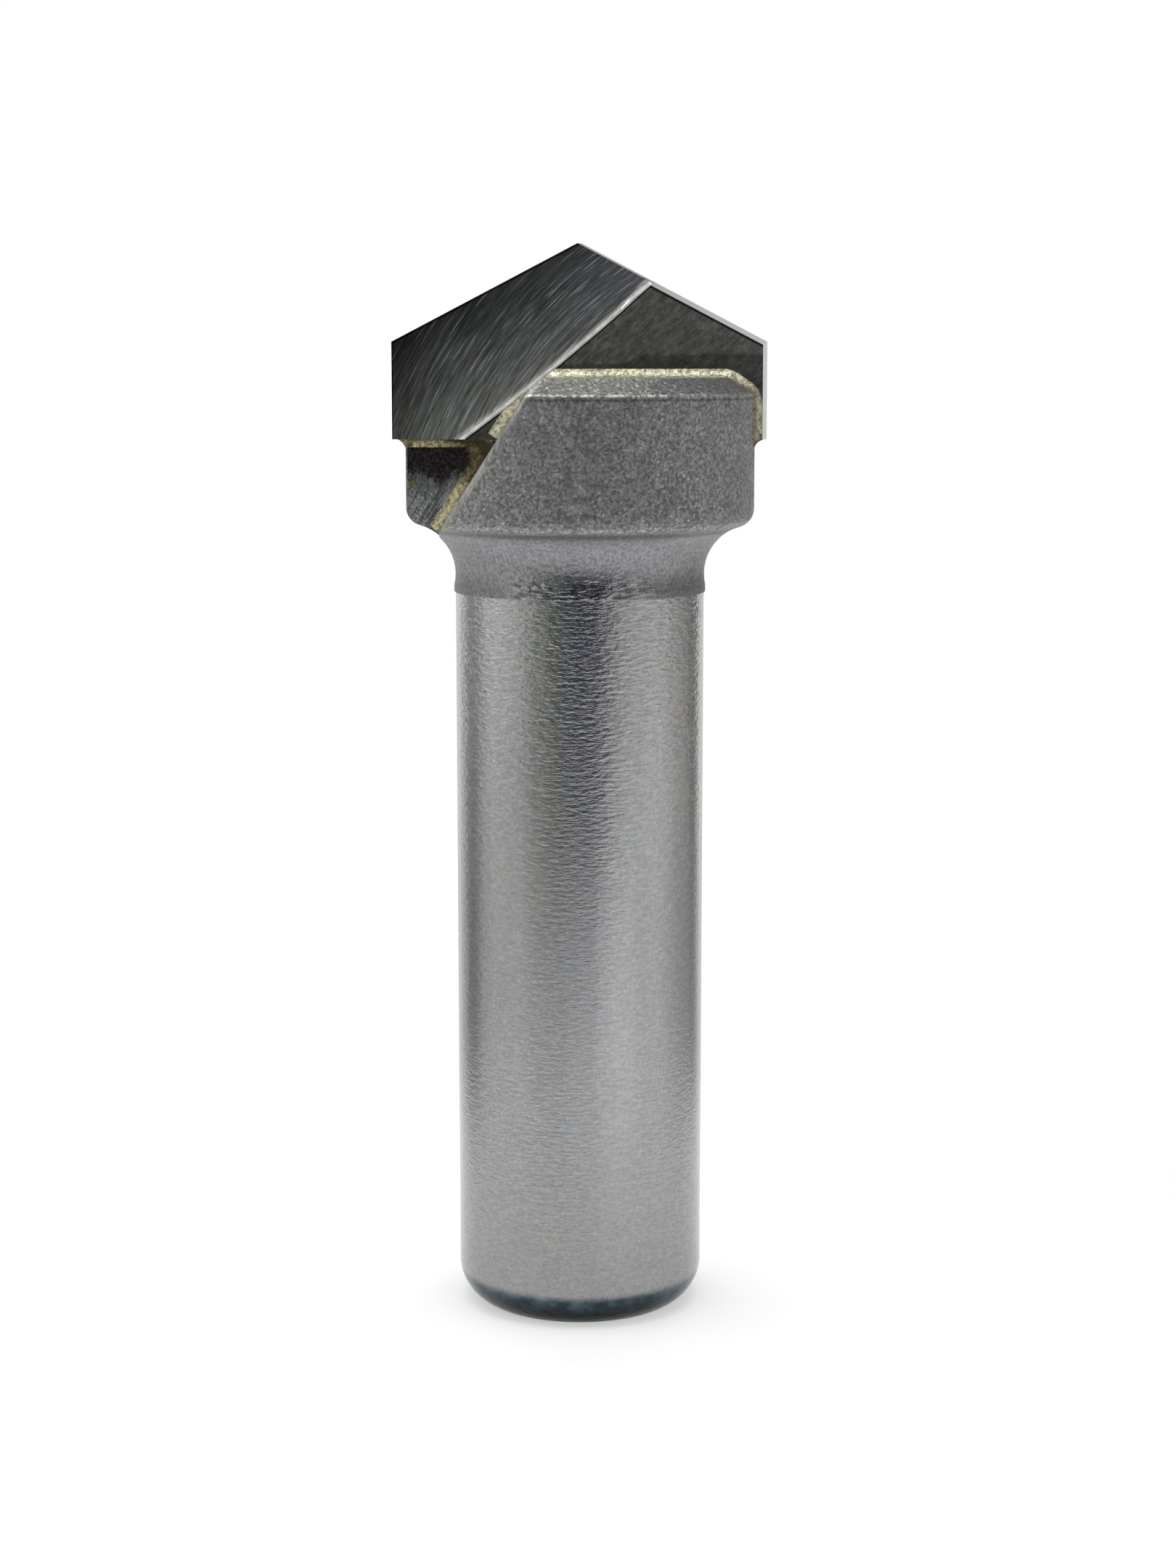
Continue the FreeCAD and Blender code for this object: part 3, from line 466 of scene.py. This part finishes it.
    # Painted shade in the crease below the head and under the bevel's edge, and a painted
    # reflection on the rim just above the crease.
    colour = g.lift(colour, g.band(z, *CREASE_SHADE), -0.4)
    colour = g.lift(colour, g.band(z, *RIM_REFLECTION), g.step(specks, *SOFT, 0.0, 0.5))
    colour = g.lift(colour, g.band(z, *UNDER_BEVEL_SHADE), -0.4)
    wall_colour = g.vary(WALL_EDGE_GREY, cuts, FIRM, low=0.72, high=1.28)
    colour = g.mix(wall_edge, colour, wall_colour)
    colour = g.mix(bevel, colour, edge)
    colour = g.mix(worn_edge_highlight, colour, EDGE_HIGHLIGHT)
    colour = g.mix(bead_foot, colour, BEAD_FOOT_DARK)
    colour = g.mix(in_gullet, colour, floor)
    colour = g.mix(washed, colour, g.vary(BRAZE_WASH, blast, SOFT, low=0.6, high=1.4))
    colour = g.mix(above_shank, shank, colour)
    colour = g.mix(round_end, colour, end_shade)

    # Roughness: dull where it is blasted, duller on the head, glossy on the ground shank.
    roughness = g.blend(half_blasted, NECK_ROUGH, PATCH_ROUGH)
    roughness = g.blend(head, roughness, HEAD_ROUGH)
    roughness = g.blend(wall_edge, roughness, WALL_EDGE_ROUGH)
    roughness = g.blend(in_gullet, roughness, FLOOR_ROUGH)
    roughness = g.blend(above_shank, g.step(fine_marks, *WIDE, *SHANK_ROUGH), roughness)

    # Relief: the marks on the shank, the pits of the blasting above it.
    ridges = g.times(marks, g.step(z, *RIDGES_RISE, 0.45, 1.3))
    pits = g.blend(half_blasted, blast, g.times(dashes, DASHES_DEPTH))
    relief = g.bump(g.blend(above_shank, ridges, pits), STEEL_DEPTH)
    tangent = g.node("ShaderNodeTangent", direction_type="RADIAL", axis="Z").outputs[0]
    brushed = {
        "Anisotropic": g.blend(above_shank, SHANK_BRUSHED, 0.0),
        "Anisotropic Rotation": BRUSHED_TURN,
        "Tangent": tangent,
    }
    return g.metal(colour, roughness, relief, brushed)


# Noises on the carbide. The first three follow the wheel's marks: to the millimetre from the middle
# of the marks, and to the radian round it.
RAKE_MARKS = Grain((8.0, 9.0, 1.0), 3.0, 0.8)
SCRATCHES = Grain((12.0, 8.0, 1.0), 1.0, 0.5)
RAKE_TONES = Grain((1.0, 4.0, 1.0), 2.0, 0.5)
MOTTLE = Grain(2.0, 4.0, 0.6)
SCUFFS = Grain((1.2, 1.2, 6.0), 3.0, 0.7)
SCUFFS_TURN = 40.0
CARBIDE_GRAIN = Grain(7.0, 2.0, 0.6)
CORNER_SPOTS = Grain(2.4, 3.0, 0.5)

# The painted sheen of the rake face, light at its inner edge and dark at its far corner: how deep
# inside the edge the shades start and end, then each shade with its share of that way.
RAKE_SHEEN_DEPTH = (0.4, 7.4)
RAKE_SHEEN = [
    (0.0, (0.6, 0.59, 0.565)),
    (0.12, (0.46, 0.455, 0.43)),
    (0.35, (0.315, 0.312, 0.302)),
    (0.7, (0.16, 0.163, 0.168)),
    (1.0, (0.05, 0.052, 0.055)),
]
RAKE_BROWN = (0.22, 0.16, 0.1)
RAKE_BROWNING = 0.12
SKIN_DARK = (0.225, 0.22, 0.2)
# Painted light on the carbide: the near-white sheen of the relief and the highlight in the corner
# at the foot of the rake face.
RELIEF_SHEEN = (0.95, 0.95, 0.97)
CORNER_HIGHLIGHT = (1.0, 0.99, 0.96)

# The range of the marks' noise on the rake face, and the range that leaves single scratches.
MARKS_RANGE = (0.36, 0.64)
SCRATCHES_RANGE = (0.62, 0.7)

# How squarely a surface has to face the front or the back, from 0 to 1, to be a rake face, to be
# skin, and for the corner's painted highlight to be full. Then how far up the relief faces where
# its painted shade deepens.
RAKE_FLATNESS = (0.7, 0.9)
SKIN_FLATNESS = (0.9, 0.97)
CORNER_LIT_FLATNESS = (0.1, 0.45)
RELIEF_UPWARD_SHADE = (0.3, 0.8)

# How far off the middle plane the rake face ends, the skin begins and the corner between them ends.
# Then where the corner starts and ends, going in from the arc, and where its painted highlight
# grows duller.
RAKE_OFF = (HALF_WEB + 0.02, HALF_WEB + 0.06)
SKIN_OFF = (HALF_PLATE - 0.06, HALF_PLATE - 0.02)
CORNER_OFF = (HALF_PLATE - 0.05, HALF_PLATE)
CORNER_START = (-0.1, 0.0)
CORNER_END = (0.5, 0.6)
CORNER_HIGHLIGHT_FADE = (0.05, 0.26)

# Dark lines along the cutting edges, on the skin under the relief, and on the skin along the arc,
# by the distance from each. Then the darker outer end of the rake face: across.
EDGE_LINE = (0.03, 0.1)
RELIEF_LINE = (RELIEF_WIDTH + 0.02, RELIEF_WIDTH + 0.12)
ARC_LINE = (-0.1, -0.04)
RAKE_OUTER_END = (-9.5, -6.0)

# The darker band along the foot of the plate's skin: its top edge, how uneven that is, and how much
# higher it runs between two distances from the axis.
BAND_TOP = (48.85, 49.05)
BAND_RAGGED = 0.3
BAND_RISE = 0.45
BAND_RISE_FROM = (2.0, 3.4)

# Roughness of the relief, the skin and the rake face, and the depth of the relief of all three.
RELIEF_ROUGH = 0.3
SKIN_ROUGH = 0.6
RAKE_ROUGH = (0.28, 0.4)
CARBIDE_DEPTH = 0.02


def carbide():
    """Ground rake faces with the wheel's marks and a painted sheen, dark skin, relief behind the
    edges painted near white, and a painted highlight in the corner.
    """
    g = Graph("carbide_finish")
    x, y, z = g.place()
    point = g.join(x, y, z)
    faces_y, faces_z = g.facing()[1:]
    off_axis = g.absolute(x)
    off_middle = g.absolute(y)
    flat = g.absolute(faces_y)
    across = g.across(x, y)

    # Each of the three takes its own slice of the noise.
    reach, turn = g.polar(across, z, MARKS_CENTRE)
    marks = g.noise(g.join(reach, turn, 0.0), RAKE_MARKS)
    scratches = g.noise(g.join(reach, turn, 4.0), SCRATCHES)
    tones = g.noise(g.join(reach, turn, 8.0), RAKE_TONES)
    mottle = g.noise(point, MOTTLE)
    scuffs = g.noise(g.turned(point, SCUFFS_TURN), SCUFFS)
    grain = g.noise(point, CARBIDE_GRAIN)
    spots = g.noise(point, CORNER_SPOTS)

    # Where each finish is. ground is how far a point lies inside the arc that bounds the rake face,
    # and the corner is the hollow that the wheel's worn corner left along that arc.
    ground = g.minus(RAKE_RADIUS, g.polar(across, z, RAKE_CENTRE)[0])
    rake = g.times(g.fade(off_middle, *RAKE_OFF), g.step(flat, *RAKE_FLATNESS))
    skin = g.times(g.step(off_middle, *SKIN_OFF), g.step(flat, *SKIN_FLATNESS))
    corner = g.times(g.fade(ground, *CORNER_END), g.step(ground, *CORNER_START))
    corner = g.times(corner, g.fade(off_middle, *CORNER_OFF))
    roof = g.minus(POINT_HEIGHT, g.times(off_axis, math.tan(ROOF_SLOPE)))
    under_roof = g.times(g.minus(roof, z), math.cos(ROOF_SLOPE))
    from_outline = g.math("MINIMUM", under_roof, g.minus(HALF_CUT, off_axis))

    # Colour of the rake face: a painted sheen, lightest at its inner edge, with a dark line along
    # the cutting edges and a darker outer end.
    face = g.ramp(g.step(ground, *RAKE_SHEEN_DEPTH), RAKE_SHEEN)
    face = g.vary(face, marks, MARKS_RANGE, low=0.6, high=1.45)
    face = g.vary(face, scratches, SCRATCHES_RANGE, low=1.0, high=2.5)
    face = g.mix(g.step(tones, *HARD, 0.0, RAKE_BROWNING), face, RAKE_BROWN)
    face = g.vary(face, from_outline, EDGE_LINE, low=0.2, high=1.0)
    face = g.vary(face, across, RAKE_OUTER_END, low=0.6, high=1.0)

    # Colour of the skin, with the darker band and dark lines under the relief and at the rake face.
    dark = g.vary(SKIN_DARK, mottle, FIRM, low=0.82, high=1.18)
    dark = g.vary(dark, scuffs, FIRM, low=0.78, high=1.22)
    dark = g.vary(dark, grain, SOFT, low=0.85, high=1.15)
    level = g.minus(z, g.times(g.step(off_axis, *BAND_RISE_FROM), BAND_RISE))
    level = g.plus(level, g.times(mottle, BAND_RAGGED))
    dark = g.vary(dark, level, BAND_TOP, low=0.6, high=1.0)
    dark = g.vary(dark, under_roof, RELIEF_LINE, low=0.2, high=1.0)
    dark = g.vary(dark, ground, ARC_LINE, low=1.0, high=0.1)

    # Colour of the relief, painted near white with painted shade where it faces up, and of the
    # corner, a painted highlight that dims going in from the arc and where the corner turns away
    # from the front.
    bright = g.vary(RELIEF_SHEEN, grain, SOFT, low=0.92, high=1.02)
    bright = g.vary(bright, faces_z, RELIEF_UPWARD_SHADE, low=1.0, high=0.66)
    lit_corner = g.vary(CORNER_HIGHLIGHT, ground, CORNER_HIGHLIGHT_FADE, low=0.9, high=0.42)
    lit_corner = g.vary(lit_corner, spots, FIRM, low=0.82, high=1.1)
    lit_corner = g.vary(lit_corner, flat, CORNER_LIT_FLATNESS, low=0.4, high=1.0)

    colour = g.mix(skin, bright, dark)
    colour = g.mix(corner, colour, lit_corner)
    colour = g.mix(rake, colour, face)
    roughness = g.blend(skin, RELIEF_ROUGH, SKIN_ROUGH)
    roughness = g.blend(rake, roughness, g.step(scratches, *WIDE, *RAKE_ROUGH))
    height = g.blend(rake, g.times(g.plus(mottle, grain), 0.5), marks)
    return g.metal(colour, roughness, g.bump(height, CARBIDE_DEPTH))


# Noises on the braze.
BRAZE_GRAIN = Grain(4.8, 3.0, 0.7)
BRAZE_CLOUDS = Grain(1.3, 3.0, 0.6)

# Colours of the braze: on top of the head in two tones, at the side of the head in painted shade,
# and in the gullet from the pool in its corner, in painted shade under the plate, out to its side
# and down to its lower end.
TOP_GOLD = (0.82, 0.76, 0.52)
TOP_PALE = (0.95, 0.92, 0.7)
SIDE_SHADE = (0.62, 0.57, 0.44)
POOL_SHADE = (0.17, 0.145, 0.08)
POOL_LIGHT = (0.5, 0.435, 0.27)
GULLET_GOLD = (0.5, 0.45, 0.285)

# Where those colours change: up the axis, and out from it. Noise makes the changes uneven.
BRAZE_RAGGED = 1.2
TOP_LIGHT_LEVEL = (47.2, 48.0)
PLATE_LEVEL = (PLATE_BOTTOM - 0.05, PLATE_BOTTOM + 0.05)
POOL_LEVEL = (42.4, 43.0)
POOL_REACH = (5.6, 7.2)
SIDE_REACH = (8.4, 8.8)

# The bright grain of the braze: the range of its noise, its roughness from the dark to the bright
# grains, and its depth.
GRAIN_RANGE = (0.38, 0.58)
GRAIN_ROUGH = (0.45, 0.25)
BRAZE_DEPTH = 0.08


def braze():
    """Pale gold braze with a bright grain on top of the head, painted lighter there; olive under
    the plate, with painted shade there and at the side of the head.
    """
    g = Graph("braze_finish")
    x, y, z = g.place()
    point = g.join(x, y, z)
    from_axis = g.distance(x, y)
    grain = g.noise(point, BRAZE_GRAIN)
    clouds = g.noise(point, BRAZE_CLOUDS)
    level = g.ragged(z, clouds, BRAZE_RAGGED)

    colour = g.mix(clouds, TOP_GOLD, TOP_PALE)
    # Painted light: lighter on top of the head, with painted shade at the side of the head, under
    # the plate and deepest in the pool in its corner.
    colour = g.vary(colour, z, TOP_LIGHT_LEVEL, low=0.64, high=1.0)
    colour = g.mix(g.step(from_axis, *SIDE_REACH), colour, SIDE_SHADE)
    pooled = g.mix(g.step(from_axis, *POOL_REACH), POOL_SHADE, POOL_LIGHT)
    colour = g.mix(g.fade(level, *PLATE_LEVEL), colour, pooled)
    colour = g.mix(g.fade(level, *POOL_LEVEL), colour, GULLET_GOLD)
    colour = g.vary(colour, grain, GRAIN_RANGE, low=0.48, high=1.12)
    return g.metal(colour, g.step(grain, *SOFT, *GRAIN_ROUGH), g.bump(grain, BRAZE_DEPTH))


def dress(node, material):
    node.data.materials.clear()
    node.data.materials.append(material)


dress(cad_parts["steel_body"], steel())
dress(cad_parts["carbide_tip"], carbide())
dress(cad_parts["braze_joint"], braze())


def circle(radius, segments):
    """x and y of points round the axis."""
    turns = [2 * math.pi * i / segments for i in range(segments)]
    return [(radius * math.cos(turn), radius * math.sin(turn)) for turn in turns]


def add_mesh(name, points, faces):
    mesh = bpy.data.meshes.new(name)
    mesh.from_pydata(points, [], faces)
    made = bpy.data.objects.new(name, mesh)
    bpy.context.collection.objects.link(made)
    return made


# The floor: its radius in metres, its colour, the light it gives of its own, and between which
# distances from the axis, in millimetres, it runs out into white.
FLOOR_RADIUS = 6.0
FLOOR_COLOUR = (0.93, 0.93, 0.93, 1.0)
FLOOR_GLOW = 0.44
FLOOR_FADE = (12.0, 44.0)


def pale_floor():
    """A matt pale sheet that takes the bit's shadow and runs out into white."""
    g = Graph("floor_finish")
    x, y = g.place()[:2]
    sheet = g.node("ShaderNodeBsdfDiffuse", {"Color": FLOOR_COLOUR})
    glow = g.node("ShaderNodeEmission", {"Strength": FLOOR_GLOW})
    lit = g.node("ShaderNodeAddShader", {0: sheet.outputs[0], 1: glow.outputs[0]})
    white = g.node("ShaderNodeEmission", {"Strength": 1.0})
    inputs = {0: g.step(g.distance(x, y), *FLOOR_FADE), 1: lit.outputs[0], 2: white.outputs[0]}
    return g.surface(g.node("ShaderNodeMixShader", inputs))


def disc(name, radius, segments=96):
    points = [(x, y, 0.0) for x, y in circle(radius, segments)]
    return add_mesh(name, points, [list(range(segments))])


floor = disc("floor", FLOOR_RADIUS)
dress(floor, pale_floor())

# Soft light from all round the bit, as from pale walls with darker gaps: the angle from the front
# of the bit in degrees, positive on its right, then the wall's colour there above its middle and
# below it.
WALL_TONES = [
    (-180, (0.3, 0.3, 0.3), (0.5, 0.5, 0.5)),
    (-165, (0.6, 0.6, 0.6), (0.7, 0.7, 0.7)),
    (-150, (1.0, 1.0, 1.0), (0.9, 0.9, 0.9)),
    (-130, (0.7, 0.7, 0.68), (0.6, 0.6, 0.6)),
    (-120, (0.38, 0.38, 0.37), (0.3, 0.3, 0.3)),
    (-108, (0.38, 0.38, 0.37), (0.3, 0.3, 0.3)),
    (-97, (0.7, 0.7, 0.69), (0.58, 0.58, 0.58)),
    (-81, (0.84, 0.84, 0.83), (0.7, 0.7, 0.7)),
    (-67, (0.68, 0.68, 0.67), (0.68, 0.68, 0.68)),
    (-55, (0.6, 0.6, 0.59), (0.72, 0.72, 0.72)),
    (-43, (0.36, 0.37, 0.35), (0.62, 0.62, 0.62)),
    (-32, (0.22, 0.24, 0.19), (0.57, 0.58, 0.56)),
    (-18, (0.1, 0.115, 0.1), (0.56, 0.56, 0.56)),
    (-8, (0.04, 0.052, 0.078), (0.64, 0.64, 0.66)),
    (12, (0.04, 0.05, 0.078), (0.7, 0.7, 0.72)),
    (19, (0.13, 0.115, 0.14), (0.92, 0.91, 0.93)),
    (27, (0.4, 0.37, 0.39), (1.0, 0.99, 1.0)),
    (36, (0.54, 0.54, 0.54), (1.0, 1.0, 1.0)),
    (45, (0.76, 0.76, 0.76), (0.94, 0.94, 0.94)),
    (57, (0.82, 0.82, 0.81), (0.8, 0.8, 0.8)),
    (70, (0.97, 0.97, 0.96), (0.82, 0.82, 0.82)),
    (83, (0.85, 0.85, 0.84), (0.7, 0.7, 0.7)),
    (99, (0.64, 0.63, 0.61), (0.52, 0.52, 0.52)),
    (115, (0.52, 0.51, 0.49), (0.48, 0.47, 0.46)),
    (122, (0.24, 0.22, 0.19), (0.36, 0.35, 0.34)),
    (130, (0.3, 0.28, 0.26), (0.4, 0.39, 0.38)),
    (140, (0.9, 0.9, 0.9), (0.7, 0.7, 0.7)),
    (150, (1.0, 1.0, 1.0), (0.9, 0.9, 0.9)),
    (165, (0.6, 0.6, 0.6), (0.7, 0.7, 0.7)),
    (180, (0.3, 0.3, 0.3), (0.5, 0.5, 0.5)),
]

# The ring of walls, in metres, then levels in millimetres: where the upper colours take over from
# the lower ones, and where the wall grows darker on the bit's right and lighter on its left, and by
# how much.
WALL_RADIUS = 0.045
WALL_HEIGHT = 0.09
WALL_MIDDLE = (10.0, 27.0)
WALL_LEAN_FROM = (34.0, 41.0)
WALL_LEAN = 0.5


def wall_finish():
    g = Graph("wall_finish")
    x, y, z = g.place()
    angle = g.math("ARCTAN2", x, g.times(y, -1.0))
    share = g.plus(g.math("DIVIDE", angle, 2 * math.pi), 0.5)
    above = g.ramp(share, [((turn + 180) / 360, tone) for turn, tone, _ in WALL_TONES])
    below = g.ramp(share, [((turn + 180) / 360, tone) for turn, _, tone in WALL_TONES])
    tone = g.mix(g.step(z, *WALL_MIDDLE), below, above)
    lean = g.times(g.math("SINE", angle), g.step(z, *WALL_LEAN_FROM, 0.0, WALL_LEAN))
    tone = g.tint(tone, g.minus(1.0, lean))
    return g.surface(g.node("ShaderNodeEmission", {"Color": tone, "Strength": 1.0}))


def wall(name, radius, height, segments=120):
    points = [(x, y, level) for x, y in circle(radius, segments) for level in (0.0, height)]
    faces = []
    for i in range(segments):
        here, beyond = 2 * i, 2 * ((i + 1) % segments)
        faces.append((here, beyond, beyond + 1, here + 1))
    return add_mesh(name, points, faces)


walls = wall("soft_walls", WALL_RADIUS, WALL_HEIGHT)
walls.visible_camera = False
dress(walls, wall_finish())

# A soft lamp above: its side and height in metres, and how light it is beside the world.
LAMP_SIZE = 0.12
LAMP_HEIGHT = 0.25
LAMP_LEVEL = 1.7
lamp = bpy.data.objects.new("soft_lamp", bpy.data.lights.new("soft_lamp", "AREA"))
lamp.data.size = LAMP_SIZE
lamp.data.energy = LAMP_LEVEL * math.pi * LAMP_SIZE**2
lamp.location = (0.0, 0.0, LAMP_HEIGHT)
bpy.context.collection.objects.link(lamp)

world = bpy.data.worlds.new("white_room")
world.use_nodes = True
background = world.node_tree.nodes["Background"]
background.inputs["Color"].default_value = (1.0, 1.0, 1.0, 1.0)
background.inputs["Strength"].default_value = 1.0
bpy.context.scene.world = world
bpy.context.scene.view_settings.view_transform = "Standard"

# The camera of the photograph: where it stands, how far it looks down in degrees, its sensor and
# lens, and the nearest and farthest things it sees, in metres.
CAMERA_PLACE = (0.42, -145.4, 49.29)
CAMERA_DOWN = 8.62
CAMERA_SENSOR = 36.0
CAMERA_LENS = 65.14
CAMERA_CLIP = (0.01, 20.0)
camera = bpy.data.objects.new("camera", bpy.data.cameras.new("camera"))
bpy.context.collection.objects.link(camera)
camera.data.sensor_width = CAMERA_SENSOR
camera.data.lens = CAMERA_LENS
camera.location = Vector(CAMERA_PLACE) * MM
camera.rotation_euler = (math.radians(90 - CAMERA_DOWN), 0.0, 0.0)
camera.data.clip_start, camera.data.clip_end = CAMERA_CLIP
bpy.context.scene.camera = camera
